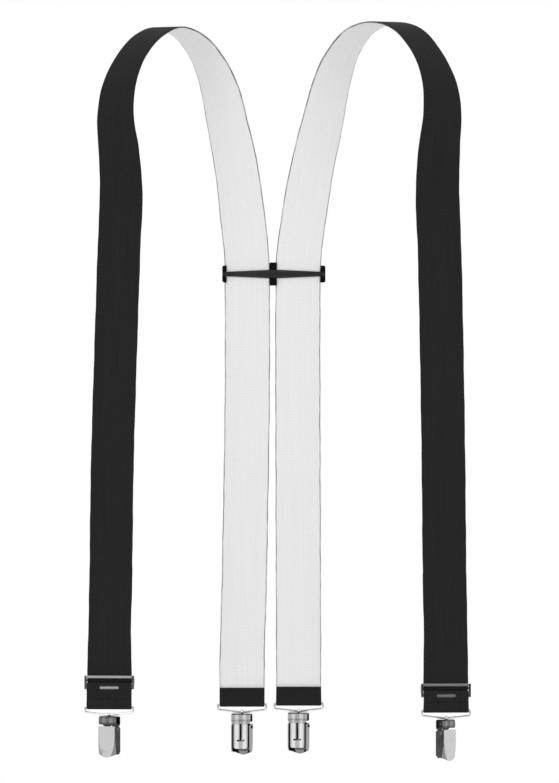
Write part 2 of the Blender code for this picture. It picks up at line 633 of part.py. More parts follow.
# ---- crosspiece ---------------------------------------------------------------------------
def crosspiece():
    """A moulded plate behind both straps, and the tapered bar clipped across in front of them."""
    place = Matrix.Translation(Vector((CROSS_X, CROSS_Y, CROSS_Z)) * MM)
    w = CROSS_HALF_WIDTH
    e = CROSS_END_HALF_HEIGHT
    b = CROSS_BAR_END
    h = CROSS_BAR_MIDDLE
    bar_shape = [(-w, -b), (0, -h), (w, -b), (w, b), (0, h), (-w, b)]
    made = plate_xz("crosspiece_bar", bar_shape, BAR_FRONT_Y, -CHANNEL_Y)
    ridge = plate_xz("ridge", bar_shape, RIDGE_FRONT_Y, BAR_FRONT_Y + 0.4, inset=0.55)
    join(made, ridge)
    finish(made, "plastic", place, (0, 0, 0))

    left = CROSS_TAB_X - CROSS_TAB_HALF_WIDTH
    right = CROSS_TAB_X + CROSS_TAB_HALF_WIDTH
    m = CROSS_TAB_HALF_HEIGHT
    tab = rounded_outline([(left, -m, 0.6), (right, -m, 0.6), (right, m, 0.6), (left, m, 0.6)])
    outline = rounded_outline([(-w, -e, 1.5), (left - 1.5, -e, 0), (left, -m, 0.6), (right, -m, 0.6),
                               (right + 1.5, -e, 0), (w, -e, 1.5), (w, e, 1.5), (right + 1.5, e, 0),
                               (right, m, 0.6), (left, m, 0.6), (left - 1.5, e, 0), (-w, e, 1.5)])
    lip = CROSS_LIP_INNER
    wall = CROSS_WALL_INNER
    end = rounded_outline([(lip, -e, 0), (w, -e, 1.5), (w, e, 1.5), (lip, e, 0)])
    other_end = [(-x, z) for x, z in end]
    inside = CHANNEL_Y + 0.4
    plate = plate_xz("crosspiece_plate", outline, CHANNEL_Y, PLATE_REAR_Y)
    join(plate,
         plate_xz("end", end, LIP_FRONT_Y, inside),
         plate_xz("end", other_end, LIP_FRONT_Y, inside))
    cut(plate, block("channel", (-wall, -CHANNEL_Y, -e - 1), (wall, CHANNEL_Y, e + 1)))
    join(plate,
         block("middle_wall", (-2.5, -1.5, 0.3 - m), (0.3, inside, m - 0.3)),
         plate_xz("tab", tab, LIP_FRONT_Y, -CHANNEL_Y))
    room = 0.3
    seat = room - CHANNEL_Y
    cut(plate,
        block("seat", (-6, -4, -h - room), (6, seat, h + room)),
        block("end_seat", (lip - 1, -4, -b - room), (w + 1, seat, b + room)),
        block("end_seat", (-w - 1, -4, -b - room), (1 - lip, seat, b + room)))
    finish(plate, "plastic", place, (0, 0, 0))


def main():
    for item in list(bpy.data.objects):
        bpy.data.objects.remove(item)
    for side in SIDES:
        strap(side)
        strap_turn(side, adjuster_place(side))
        adjuster_frame(side, adjuster_place(side))
        ring_tab(side, end_place(side, "front"))
        for end in ("front", "back"):
            lower_end(side, end)
    crosspiece()


main()
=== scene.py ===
"""Looks of the suspenders: woven elastic webbing, nickelled steel and moulded plastic.

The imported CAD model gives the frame. The soft parts are rebuilt here as woven webbing with
stitching, the wire rings are rebuilt round, and the other nodes keep their shape and get softened
edges and procedural materials. Dimensions are in millimetres, except in the studio section, which
is in metres.
"""

import math

import bpy
from mathutils import Matrix, Vector


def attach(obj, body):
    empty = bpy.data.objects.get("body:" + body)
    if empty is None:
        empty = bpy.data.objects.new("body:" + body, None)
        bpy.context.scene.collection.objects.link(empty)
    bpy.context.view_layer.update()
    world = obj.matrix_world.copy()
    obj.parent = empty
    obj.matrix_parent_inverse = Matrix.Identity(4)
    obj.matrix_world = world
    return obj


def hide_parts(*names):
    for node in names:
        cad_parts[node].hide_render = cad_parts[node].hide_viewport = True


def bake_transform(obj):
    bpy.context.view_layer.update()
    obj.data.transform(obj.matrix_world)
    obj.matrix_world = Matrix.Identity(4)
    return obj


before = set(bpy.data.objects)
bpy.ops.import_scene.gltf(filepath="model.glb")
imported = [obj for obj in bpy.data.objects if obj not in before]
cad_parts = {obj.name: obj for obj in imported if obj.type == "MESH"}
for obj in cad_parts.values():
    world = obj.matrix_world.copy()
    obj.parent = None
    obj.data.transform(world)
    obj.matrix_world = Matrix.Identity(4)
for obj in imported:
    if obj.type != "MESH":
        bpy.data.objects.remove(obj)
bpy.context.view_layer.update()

MM = 0.001

# ---- dimensions shared with the CAD model ---------------------------------------------------
WEB_HALF_WIDTH = 17.5
WEB_HALF_THICK = 0.6
PLY_GAP = 0.4            # air left between two plies that are sewn together
FLAP_HEIGHT = 14.8       # sewn flap at each back end
FOLD_R = 1.85            # middle of the webbing around the ring's wire
FOLD_Z = FOLD_R + WEB_HALF_THICK
FOLD_WAIST_R = 1.5       # from the wire's plane, where the plies close in above the fold
FOLD_WAIST_Z = 5.0
WIRE_R = 0.85
RING_HALF_WIDTH = 18.75
RING_SIDE_Z = -2.3
BOW_Z = -4.0             # where the ring's wire dips to in its middle
NECK_Z = -5.2            # height of the clip's frame in the lower end's frame
CLIP_Y = 0.6             # brings the clip's weight under the ring's wire
COVER_SHOULDER_Z = -29.2   # the cover's pointed tip starts here, in the clip's frame
MIDDLE_BAR_Z = 22.4      # the adjuster's bar that the strap turns round
TURN_R = 1.75            # middle of the webbing around the middle bar
TAIL_LENGTH = 90.0
TAIL_LEAN = 2.0          # how much further behind the strap the tail lies above its turn
LOWER_BAR_Y = -1.6
LOWER_BAR_Z = 16.8
TAB_HALF_TOP = 1.65      # half distance between the tab's plies around the lower bar
TAB_FOLD_Z = 18.5
TAB_SLOT_HALF_WIDTH = 7.5   # slot in the tab's front ply that shows the lower bar
TAB_SLOT_HALF_HEIGHT = 1.5
LINE_END_Z = 16.0        # the strap's curved line ends this far above its back end
FLAP_FLAT_Z = 8.5        # the flap lies flat on the strap above this height
TAB_SEWN_Z = 7.5         # the tab's plies lie together from here
TAB_PARTING_DROP = 5.4   # to this far below its top fold
TAB_WAIST_R = 1.5        # from the bar's plane, where the plies close in below the top fold
TAB_WAIST_DROP = 2.9
SPLIT_Z = -200.0         # the strap's front run is its own piece below this height

# Rows of (distance from the middle plane, y, z, turn of the width about the vertical in degrees).
LEFT_LINE = [
    (126.0, -29.0, -475, 18), (125.1, -29.0, -432, 18), (123.9, -29.0, -343, 18),
    (121.4, -29.0, -257, 18), (118.8, -29.0, -177, 18), (117.1, -30.5, -124, 19),
    (118.9, -34.5, -96, 27), (121.2, -37.5, -73, 35), (118.9, -36.0, -49, 42),
    (110.0, -27.0, -26, 48), (96.2, -14.5, -9, 49), (81.0, 0.0, -2, 49),
    (65.0, 14.5, -8, 47), (50.3, 27.5, -26, 41), (41.0, 33.5, -49, 32),
    (35.2, 35.5, -75, 24), (28.5, 36.0, -108, 16), (23.4, 36.0, -147, 6),
    (20.0, 36.0, -181, 1), (19.6, 36.0, -211, 0), (19.7, 36.0, -294, 0),
    (20.9, 36.0, -373, 0), (22.3, 36.0, -445, 0), (23.7, 36.0, -495, 0),
]
RIGHT_LINE = [
    (133.9, -29.0, -475, 14), (133.1, -29.0, -432, 14), (132.2, -29.0, -343, 14),
    (130.9, -29.0, -257, 14), (129.2, -29.0, -177, 14), (127.6, -30.5, -124, 15),
    (129.0, -34.5, -94, 24), (131.2, -37.5, -69, 32), (128.9, -36.0, -45, 41),
    (119.6, -27.0, -22, 48), (103.4, -14.5, -3, 49), (86.0, 0.0, 2, 49),
    (68.3, 14.5, -4, 47), (53.6, 27.5, -23, 41), (45.1, 33.5, -47, 32),
    (39.2, 35.5, -73, 24), (30.8, 36.0, -110, 15), (24.6, 36.0, -147, 6),
    (20.3, 36.0, -181, 1), (19.8, 36.0, -211, 0), (19.7, 36.0, -294, 0),
    (19.9, 36.0, -373, 0), (20.1, 36.0, -445, 0), (20.3, 36.0, -495, 0),
]
# Each side of the body: which way is outwards, the strap's line, the height of its front fold and
# its back fold, how far the adjuster hangs below its usual height over the front fold, how far
# the front end is turned outwards, and how far each clip has swung round on its swivel.
SIDES = {
    "left": {"out": -1, "line": LEFT_LINE, "front_z": -529.7, "back_z": -529.0,
             "adjuster_drop": 0.0, "front_turn": 8, "front_swing": -22, "back_swing": -17},
    "right": {"out": 1, "line": RIGHT_LINE, "front_z": -532.3, "back_z": -528.2,
              "adjuster_drop": 3.6, "front_turn": 7, "front_swing": 43, "back_swing": -17},
}

# ---- detail -------------------------------------------------------------------------------
SECTION_STEP = 2.5       # distance between the webbing's cross-sections where it is nearly straight
SELVEDGE = 0.75          # width of the woven edge that shows dark on the white face
RIB_PITCH = 1.15         # between the cross ribs of the weave
WARP_PITCH = 0.95        # between its lengthways columns
EDGE_LOOP_PITCH = 1.7    # between the yarn loops along the selvedge
WOBBLES = ((0.10, 7.9, 0.0), (0.06, 3.1, 1.0))   # in the width: size, length per radian, phase
SLOT_CUT_Y = (-4.0, -0.6)   # the tab's slot is cut from in front of it to within the bar
STITCH_LENGTH = 2.1
STITCH_PITCH = 2.8
STITCH_R = 0.23
STITCH_MARGIN = 2.6      # from a row's end to the webbing's edge
STITCH_LIFT = 0.05       # the thread's centre above the webbing's face
FLAP_STITCH_Z = (FLAP_HEIGHT - 2.2, 8.6)
TAB_STITCH_Z = 8.0
RING_CORNER = 1.6        # how far each corner of the wire ring is cut back
RING_BOW_X = 9.0
WELD_DISTANCE = 0.005
BEVEL_ANGLE = 28         # degrees between faces from which an edge is rounded over
# Painted shade on the clip bodies, darker on the front clips than on the back ones.
PAINTED_NECK_SHADE_LEVELS = {"front": (0.08, 0.32), "back": (0.7, 0.8)}   # in the neck's gap, on the neck


# ---- materials ----------------------------------------------------------------------------
class Nodes:
    """A short way to build a material's nodes and link them."""

    def __init__(self, name):
        self.material = bpy.data.materials.new(name)
        self.material.use_nodes = True
        self.tree = self.material.node_tree
        self.shader = self.tree.nodes["Principled BSDF"]

    def link(self, output, socket):
        self.tree.links.new(output, socket)

    def fill(self, socket, value):
        """Sets a socket to a number, or links an output to it."""
        if isinstance(value, bpy.types.NodeSocket):
            self.link(value, socket)
        else:
            socket.default_value = value

    def math(self, operation, first, second=0.0):
        node = self.tree.nodes.new("ShaderNodeMath")
        node.operation = operation
        self.fill(node.inputs[0], first)
        self.fill(node.inputs[1], second)
        return node.outputs[0]

    def noise(self, vector, scale, detail=3.0, roughness=0.55):
        node = self.tree.nodes.new("ShaderNodeTexNoise")
        self.link(vector, node.inputs["Vector"])
        node.inputs["Scale"].default_value = scale
        node.inputs["Detail"].default_value = detail
        node.inputs["Roughness"].default_value = roughness
        return node.outputs["Fac"]

    def ramp(self, factor, stops):
        node = self.tree.nodes.new("ShaderNodeValToRGB")
        self.link(factor, node.inputs["Fac"])
        elements = node.color_ramp.elements
        while len(elements) < len(stops):
            elements.new(1.0)
        for element, (position, colour) in zip(elements, stops):
            element.position = position
            element.color = (*colour, 1.0)
        return node.outputs["Color"]

    def mix(self, factor, first, second):
        node = self.tree.nodes.new("ShaderNodeMix")
        node.data_type = "RGBA"
        self.fill(node.inputs["Factor"], factor)
        self.fill(node.inputs["A"], first)
        self.fill(node.inputs["B"], second)
        return node.outputs["Result"]

    def remap(self, value, low, high):
        """A 0 to 1 value spread from low to high."""
        return self.math("ADD", self.math("MULTIPLY", value, high - low), low)

    def bump(self, height, strength, distance):
        node = self.tree.nodes.new("ShaderNodeBump")
        self.link(height, node.inputs["Height"])
        node.inputs["Strength"].default_value = strength
        node.inputs["Distance"].default_value = distance
        self.link(node.outputs["Normal"], self.shader.inputs["Normal"])

    def coordinates(self, kind):
        node = self.tree.nodes.new("ShaderNodeTexCoord")
        return node.outputs[kind]

    def turned_into(self, place, vector):
        """The parts of a vector across, along the depth of and up a place's frame."""
        rotate = self.tree.nodes.new("ShaderNodeVectorRotate")
        rotate.rotation_type = "Z_AXIS"
        rotate.inputs["Angle"].default_value = -place.to_euler().z
        self.link(vector, rotate.inputs["Vector"])
        split = self.tree.nodes.new("ShaderNodeSeparateXYZ")
        self.link(rotate.outputs[0], split.inputs[0])
        return split.outputs[0], split.outputs[1], split.outputs[2]

    def local_normal(self, place):
        """The surface's normal in the frame of a place."""
        return self.turned_into(place, self.coordinates("Normal"))

    def local_point(self, place):
        """Where the surface is, in millimetres in the frame of a place."""
        move = self.tree.nodes.new("ShaderNodeVectorMath")
        move.operation = "SUBTRACT"
        self.link(self.coordinates("Object"), move.inputs[0])
        move.inputs[1].default_value = place.translation * MM
        grow = self.tree.nodes.new("ShaderNodeVectorMath")
        grow.operation = "SCALE"
        self.link(move.outputs[0], grow.inputs[0])
        grow.inputs["Scale"].default_value = 1 / MM
        return self.turned_into(place, grow.outputs[0])

    def steps(self, value, low, high, stops):
        """A grey level that follows stops of (value, level) between low and high."""
        node = self.tree.nodes.new("ShaderNodeMapRange")
        self.link(value, node.inputs["Value"])
        node.inputs["From Min"].default_value = low
        node.inputs["From Max"].default_value = high
        rows = [((at - low) / (high - low), grey(level)) for at, level in stops]
        return self.ramp(node.outputs["Result"], rows)

    def weave_position(self):
        """Millimetres across and along the webbing, which its UV map holds."""
        split = self.tree.nodes.new("ShaderNodeSeparateXYZ")
        self.link(self.coordinates("UV"), split.inputs[0])
        across = self.math("MULTIPLY", split.outputs[0], 2 * WEB_HALF_WIDTH)
        along = self.math("MULTIPLY", split.outputs[1], 2 * WEB_HALF_WIDTH)
        return across, along

    def wave(self, position, pitch):
        """A sine from 0 to 1 with the given pitch."""
        turns = self.math("MULTIPLY", position, 2 * math.pi / pitch)
        return self.remap(self.math("SINE", turns), 0.5, 1.0)


def grey(value):
    """A neutral colour."""
    return (value, value, value)


def woven(name, low, high, rough, specular, sheen):
    """Rib-woven elastic: fine cross ribs, warp columns and uneven yarn tone."""
    made = Nodes(name)
    across, along = made.weave_position()
    ribs = made.wave(along, RIB_PITCH)
    columns = made.wave(across, WARP_PITCH)
    basket = made.math("MULTIPLY", ribs, columns)
    stretched = made.tree.nodes.new("ShaderNodeCombineXYZ")
    made.link(across, stretched.inputs[0])
    made.link(made.math("MULTIPLY", along, 0.012), stretched.inputs[1])
    streaks = made.noise(stretched.outputs[0], 0.9, detail=2.0)
    fuzz = made.noise(made.coordinates("Object"), 900.0, detail=2.0)
    tone = made.math("ADD", made.math("MULTIPLY", basket, 0.45), made.math("MULTIPLY", fuzz, 0.35))
    tone = made.math("ADD", tone, made.math("MULTIPLY", streaks, 0.35))
    made.link(made.ramp(tone, [(0.25, low), (0.85, high)]), made.shader.inputs["Base Color"])
    made.shader.inputs["Roughness"].default_value = rough
    made.shader.inputs["Specular IOR Level"].default_value = specular
    made.shader.inputs["Sheen Weight"].default_value = sheen
    made.shader.inputs["Sheen Roughness"].default_value = 0.6
    height = made.math("ADD", made.math("MULTIPLY", basket, 0.8), made.math("MULTIPLY", fuzz, 0.2))
    made.bump(height, 0.35, 0.00012)
    return made.material


def selvedge_material(name, dark, light):
    """The woven edge seen on the white face: black edge yarns with white ones between."""
    made = Nodes(name)
    along = made.weave_position()[1]
    loops = made.wave(along, EDGE_LOOP_PITCH)
    uneven = made.noise(made.coordinates("Object"), 95.0, detail=3.0)
    loop_share = made.math("MULTIPLY", loops, 0.35)
    share = made.math("ADD", loop_share, made.math("MULTIPLY", uneven, 0.75))
    made.link(made.ramp(share, [(0.42, dark), (0.78, light)]), made.shader.inputs["Base Color"])
    made.shader.inputs["Roughness"].default_value = 0.85
    made.shader.inputs["Specular IOR Level"].default_value = 0.15
    made.bump(loops, 0.5, 0.00015)
    return made.material


def thread_material(name, colour):
    """Twisted sewing thread."""
    made = Nodes(name)
    twist = made.noise(made.coordinates("Object"), 2500.0, detail=1.0)
    low = tuple(0.7 * c for c in colour)
    high = tuple(min(1.0, 1.5 * c) for c in colour)
    made.link(made.ramp(twist, [(0.3, low), (0.7, high)]), made.shader.inputs["Base Color"])
    made.shader.inputs["Roughness"].default_value = 0.75
    made.shader.inputs["Specular IOR Level"].default_value = 0.15
    made.bump(twist, 0.3, 0.0001)
    return made.material


def metal(name, colour, smooth, rough, scratch, tone=None):
    """Nickelled steel: a bright base, cloudy handling marks and fine scratches.

    tone, if given, makes an output from the nodes that darkens the base with painted shade where it
    is below 1.
    """
    made = Nodes(name)
    place = made.coordinates("Object")
    clouds = made.noise(place, 160.0, detail=4.0)
    grain = made.noise(place, 2600.0, detail=2.0)
    low = tuple(0.94 * c for c in colour)
    base = made.ramp(clouds, [(0.3, low), (0.65, colour)])
    if tone is not None:
        # painted shade: the base is mixed towards near black where tone is below 1
        base = made.mix(tone(made), (0.02, 0.02, 0.02, 1.0), base)
    made.link(base, made.shader.inputs["Base Color"])
    made.shader.inputs["Metallic"].default_value = 1.0
    blend = made.math("ADD", made.math("MULTIPLY", clouds, 0.7), made.math("MULTIPLY", grain, 0.3))
    made.link(made.remap(blend, smooth, rough), made.shader.inputs["Roughness"])
    made.bump(grain, scratch, 0.00003)
    return made.material


def painted_cover_shade(place):
    """Painted shade: bright on the front panel, darker on the flanges, and darker where a face
    looks inwards above the pointed tip.
    """
    def tone(made):
        x, y, z = made.local_point(place)
        across, deep, _ = made.local_normal(place)
        outward = made.math("ADD", made.math("MULTIPLY", x, across), made.math("MULTIPLY", y, deep))
        inside = made.math("LESS_THAN", outward, -0.3)
        above_tip = made.math("GREATER_THAN", z, COVER_SHOULDER_Z)
        inside = made.math("MULTIPLY", inside, above_tip)
        # painted shade: faces turned aside from the front, on the flanges, are darker
        panel = made.steps(deep, -1.0, 0.0, [
            (-1.0, 1.0), (-0.975, 1.0), (-0.92, 0.42), (0.0, 0.42)])
        # painted shade on the faces that look into the cover
        shade = made.math("SUBTRACT", 1.0, made.math("MULTIPLY", inside, 0.6))
        return made.math("MULTIPLY", panel, shade)
    return tone


def painted_body_shade(place, painted_gap_shade, painted_neck_shade):
    """Painted shade on the clip's body: darker on the rolled neck than on the back plate, and
    darkest in the folds.
    """
    def tone(made):
        x, _, z = made.local_point(place)
        # painted shade in the gap under the cover, on the neck and along its top
        height = made.steps(z, -12.0, 0.0, [
            (-12.0, 1.0), (-9.0, 1.0), (-8.2, painted_gap_shade), (-6.4, painted_gap_shade),
            (-5.4, 0.5 * painted_neck_shade), (-4.4, painted_neck_shade), (-1.4, painted_neck_shade), (-0.6, 0.12),
            (0.0, 0.12)])
        # painted shade in the plate's middle groove and along its side borders
        side = made.steps(made.math("ABSOLUTE", x), 0.0, 8.0, [
            (0.0, 0.55), (1.4, 0.60), (2.2, 1.0), (4.0, 1.0), (5.2, 0.55), (8.0, 0.70)])
        return made.math("MULTIPLY", height, side)
    return tone


def painted_frame_shade(place):
    """Painted shade: darker side arms than bars."""
    def tone(made):
        x, _, _ = made.local_point(place)
        return made.steps(made.math("ABSOLUTE", x), 17.0, 19.0, [
            (17.0, 1.0), (17.7, 1.0), (18.1, 0.16), (19.0, 0.16)])
    return tone


def plastic(name, low, high, shine):
    """Black moulded nylon: an even fine grain with a soft shine."""
    made = Nodes(name)
    place = made.coordinates("Object")
    grain = made.noise(place, 1800.0, detail=2.0)
    flow = made.noise(place, 70.0, detail=3.0)
    made.link(made.ramp(flow, [(0.3, low), (0.7, high)]), made.shader.inputs["Base Color"])
    made.link(made.remap(grain, 0.34, 0.52), made.shader.inputs["Roughness"])
    made.shader.inputs["Specular IOR Level"].default_value = shine
    made.bump(grain, 0.25, 0.00004)
    return made.material


BLACK_WEB = woven("black_webbing", grey(0.008), grey(0.019), 0.85, 0.12, 0.02)
WHITE_WEB = woven("white_webbing", (0.66, 0.66, 0.67), (0.80, 0.80, 0.805), 0.9, 0.2, 0.0)
SELVEDGE_WEB = selvedge_material("selvedge", grey(0.03), grey(0.62))
THREAD = thread_material("black_thread", grey(0.009))
NICKEL = metal("nickel", (0.86, 0.86, 0.85), 0.10, 0.26, 0.10)
SPRING = metal("spring_steel", (0.16, 0.16, 0.16), 0.22, 0.40, 0.14)
NYLON = plastic("black_nylon", grey(0.010), grey(0.018), 0.28)
# The plate's nylon is a darker, less shiny copy of the bar's: painted shade.
NYLON_PAINTED_SHADE = plastic("black_nylon_painted_shade", grey(0.002), grey(0.004), 0.08)
WEB_LOOKS = [BLACK_WEB, WHITE_WEB, SELVEDGE_WEB]


# ---- mesh building ------------------------------------------------------------------------
def mesh_piece(name, points, faces, looks, smooth=True):
    """A piece from points in millimetres."""
    mesh = bpy.data.meshes.new(name)
    mesh.from_pydata([Vector(p) * MM for p in points], [], faces)
    mesh.polygons.foreach_set("use_smooth", [smooth] * len(mesh.polygons))
    for look in looks:
        mesh.materials.append(look)
    made = bpy.data.objects.new(name, mesh)
    bpy.context.scene.collection.objects.link(made)
    return made


def grid_faces(rows, columns, closed):
    """Faces between cross-sections that are closed loops, with caps unless the path is closed."""
    faces = []
    for i in range(rows if closed else rows - 1):
        here = i * columns
        there = (i + 1) % rows * columns
        for j in range(columns):
            k = (j + 1) % columns
            faces.append((here + j, here + k, there + k, there + j))
    if not closed:
        faces.append(tuple(reversed(range(columns))))
        faces.append(tuple((rows - 1) * columns + j for j in range(columns)))
    return faces


def web_section():
    """The webbing's cross-section: rows of (across, outwards, look of the face that follows)."""
    black, white, edge = range(len(WEB_LOOKS))
    w = WEB_HALF_WIDTH
    t = WEB_HALF_THICK
    corner = [(w, 0.0), (w - 0.12, 0.6 * t), (w - 0.4, 0.95 * t)]
    face = [-w + SELVEDGE, -12.0, -7.5, -2.5, 2.5, 7.5, 12.0, w - SELVEDGE]
    rows = [(-x, h, black) for x, h in corner]
    rows += [(x, t, black) for x in face]
    rows += [(x, h, black) for x, h in reversed(corner[1:])]
    rows += [(x, -h, edge) for x, h in corner]
    rows += [(x, -t, white) for x in reversed(face[1:])]
    rows.append((face[0], -t, edge))
    rows += [(-x, -h, edge) for x, h in reversed(corner[1:])]
    return rows


def web_band(name, line, across, start_length=0.0, closed=False):
    """Webbing along a line of points, across giving the way its width lies at each."""
    section = web_section()
    count = len(section)
    points = []
    lengths = [start_length]   # the length of webbing up to each cross-section
    last = len(line) - 1
    for i, point in enumerate(line):
        if i > 0:
            lengths.append(lengths[-1] + (point - line[i - 1]).length)
        before = line[i - 1] if i > 0 or closed else point
        after = line[(i + 1) % len(line)] if i < last or closed else point
        along = (after - before).normalized()
        wide = (across[i] - along * across[i].dot(along)).normalized()
        outward = wide.cross(along).normalized()
        run = lengths[-1]
        ease = sum(swell * math.sin(run / pitch + phase) for swell, pitch, phase in WOBBLES)
        scale = (WEB_HALF_WIDTH + ease) / WEB_HALF_WIDTH
        points += [point + wide * u * scale + outward * h for u, h, _ in section]
    made = mesh_piece(name, points, grid_faces(len(line), count, closed), WEB_LOOKS)
    mesh = made.data
    uv = mesh.uv_layers.new(name="weave").data
    if closed:
        lengths.append(lengths[-1] + (line[0] - line[-1]).length)
    size = 2 * WEB_HALF_WIDTH
    cut_edges = set()          # kept sharp, so that the caps don't shade the faces beside them
    for face in mesh.polygons:
        if len(face.vertices) > 4:
            face.use_smooth = False
            cut_edges.update(face.edge_keys)
            continue
        row = face.index // count
        face.material_index = section[face.index % count][2]
        for loop, vertex in zip(face.loop_indices, face.vertices):
            u = section[vertex % count][0]
            along_row = row if vertex // count == row else row + 1
            uv[loop].uv = ((u + WEB_HALF_WIDTH) / size, lengths[along_row] / size)
    for edge in mesh.edges:
        edge.use_edge_sharp = edge.key in cut_edges
    return made, lengths[-1]


def smooth_line(rows, steps):
    """A smooth curve through rows of numbers; steps[i] is how many steps follow row i."""
    rows = [Vector(row) for row in rows]
    gaps = [(rows[i + 1] - rows[i]).length for i in range(len(rows) - 1)]
    slopes = [(rows[1] - rows[0]) / gaps[0]]
    for i in range(1, len(rows) - 1):
        before = (rows[i] - rows[i - 1]) / gaps[i - 1]
        after = (rows[i + 1] - rows[i]) / gaps[i]
        slopes.append((before * gaps[i] + after * gaps[i - 1]) / (gaps[i - 1] + gaps[i]))
    slopes.append((rows[-1] - rows[-2]) / gaps[-1])
    line = []
    for i, gap in enumerate(gaps):
        for step in range(steps[i]):
            t = step / steps[i]
            start = rows[i] * (2 * t ** 3 - 3 * t ** 2 + 1)
            leave = slopes[i] * gap * (t ** 3 - 2 * t ** 2 + t)
            end = rows[i + 1] * (3 * t ** 2 - 2 * t ** 3)
            arrive = slopes[i + 1] * gap * (t ** 3 - t ** 2)
            line.append(start + leave + end + arrive)
    line.append(rows[-1])
    return line


def arc(centre, radius, start, end, steps):
    """Points in y and z on an arc, for angles in degrees from +y towards +z."""
    found = []
    for i in range(steps + 1):
        angle = math.radians(start + (end - start) * i / steps)
        found.append((centre[0] + radius * math.cos(angle), centre[1] + radius * math.sin(angle)))
    return found


def end_place(side, end):
    """The frame of a lower end, in millimetres: x across, y towards the wearer, z up."""
    facts = SIDES[side]
    row = facts["line"][0] if end == "front" else facts["line"][-1]
    turn = facts["out"] * math.radians(facts["front_turn"]) if end == "front" else math.pi
    location = Vector((facts["out"] * row[0], row[1], facts[end + "_z"]))
    return Matrix.Translation(location) @ Matrix.Rotation(turn, 4, "Z")


def adjuster_place(side):
    """The frame of a front end, lowered by as much as the adjuster hangs lower on this side."""
    drop = Vector((0.0, 0.0, -SIDES[side]["adjuster_drop"]))
    return end_place(side, "front") @ Matrix.Translation(drop)


def strap_path(side):
    """The strap above the adjuster to the end of the back flap, with the way its width lies."""
    facts = SIDES[side]
    out = facts["out"]
    first = facts["line"][0]
    last = facts["line"][-1]
    start_z = facts["front_z"] - facts["adjuster_drop"] + MIDDLE_BAR_Z
    rows = [(first[0], first[1], start_z, facts["front_turn"])]
    rows += facts["line"]
    rows.append((last[0], last[1], facts["back_z"] + LINE_END_Z, last[3]))
    steps = []
    for here, there in zip(rows, rows[1:]):
        gap = (Vector(here[:3]) - Vector(there[:3])).length
        steps.append(max(1, math.ceil(gap / SECTION_STEP)))
    line = []
    across = []
    for distance, y, z, turn in smooth_line(rows, steps):
        angle = math.radians(turn)
        line.append(Vector((out * distance, y, z)))
        across.append(Vector((math.cos(angle), out * math.sin(angle), 0.0)))
    flap_y = 2 * WEB_HALF_THICK + PLY_GAP
    wire_y = flap_y / 2
    fold = [(0.0, 12.0), (0.0, FLAP_FLAT_Z), (wire_y - FOLD_WAIST_R, FOLD_WAIST_Z)]
    fold += arc((wire_y, FOLD_Z), FOLD_R, 180, 360, 16)
    fold += [(wire_y + FOLD_WAIST_R, FOLD_WAIST_Z), (flap_y, FLAP_FLAT_Z), (flap_y, 12.0),
             (flap_y, FLAP_HEIGHT)]
    for y, z in fold:
        line.append(Vector((out * last[0], last[1] - y, facts["back_z"] + z)))
        across.append(Vector((1.0, 0.0, 0.0)))
    return line, across


def straps(side):
    """The long webbing in two pieces: the front run with its free tail, and the rest."""
    line, across = strap_path(side)
    split = next(i for i, point in enumerate(line) if point.z > SPLIT_Z)
    place = adjuster_place(side)
    sideways = place.to_3x3() @ Vector((1, 0, 0))
    turn = [place @ Vector((0.0, y, z))
            for y, z in arc((TURN_R, MIDDLE_BAR_Z), TURN_R, 360, 180, 16)]
    tail = []
    twisted = SIDES[side]["line"][0][2] - line[0].z
    for point in line:
        height = point.z - line[0].z
        if height > TAIL_LENGTH:
            break
        behind = 2 * TURN_R + TAIL_LEAN * min(1.0, height / twisted)
        tail.append(point + Vector((0, behind, 0)))
    free = len(tail) - 1
    front_line = tail[:0:-1] + turn + line[1:split + 1]
    front_across = across[free:0:-1] + [sideways] * len(turn) + across[1:split + 1]
    front, length = web_band(side + "_front_run", front_line, front_across)
    back, total = web_band(side + "_shoulder_run", line[split:], across[split:], length)
    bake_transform(front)
    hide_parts(side + "_strap_turn", side + "_strap_front")
    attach(back, "straps")
    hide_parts(side + "_strap_arch", side + "_strap_back")


def lower_tab(side):
    """The short webbing tab sewn round the adjuster's lower bar and the ring."""
    place = end_place(side, "front")
    pinch = WEB_HALF_THICK + PLY_GAP / 2
    drop = SIDES[side]["adjuster_drop"]
    top = TAB_FOLD_Z - drop
    rear_ply = [(FOLD_WAIST_R, FOLD_WAIST_Z), (pinch, TAB_SEWN_Z),
                (pinch, top - TAB_PARTING_DROP), (TAB_WAIST_R, top - TAB_WAIST_DROP)]
    front_ply = [(-y, z) for y, z in reversed(rear_ply)]
    path = arc((0, top), TAB_HALF_TOP, 0, 180, 16) + front_ply
    path += arc((0, FOLD_Z), FOLD_R, 180, 360, 16) + rear_ply
    line = [place @ Vector((0.0, LOWER_BAR_Y + y, z)) for y, z in path]
    sideways = place.to_3x3() @ Vector((-1, 0, 0))
    made, length = web_band(side + "_lower_tab", line, [sideways] * len(line), closed=True)
    h = TAB_SLOT_HALF_WIDTH
    low = LOWER_BAR_Z - drop - TAB_SLOT_HALF_HEIGHT
    high = low + 2 * TAB_SLOT_HALF_HEIGHT
    corners = [(x, LOWER_BAR_Y + y, z) for z in (low, high) for y in SLOT_CUT_Y for x in (-h, h)]
    block = mesh_piece("slot", [place @ Vector(c) for c in corners],
                       [(0, 2, 3, 1), (4, 5, 7, 6), (0, 1, 5, 4), (2, 6, 7, 3), (0, 4, 6, 2),
                        (1, 3, 7, 5)], [BLACK_WEB], smooth=False)
    step = made.modifiers.new("slot", "BOOLEAN")
    step.operation = "DIFFERENCE"
    step.solver = "EXACT"
    step.object = block
    graph = bpy.context.evaluated_depsgraph_get()
    made.data = bpy.data.meshes.new_from_object(made.evaluated_get(graph))
    made.modifiers.clear()
    bpy.data.objects.remove(block)
    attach(made, side + "_adjuster")
    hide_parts(side + "_ring_tab")


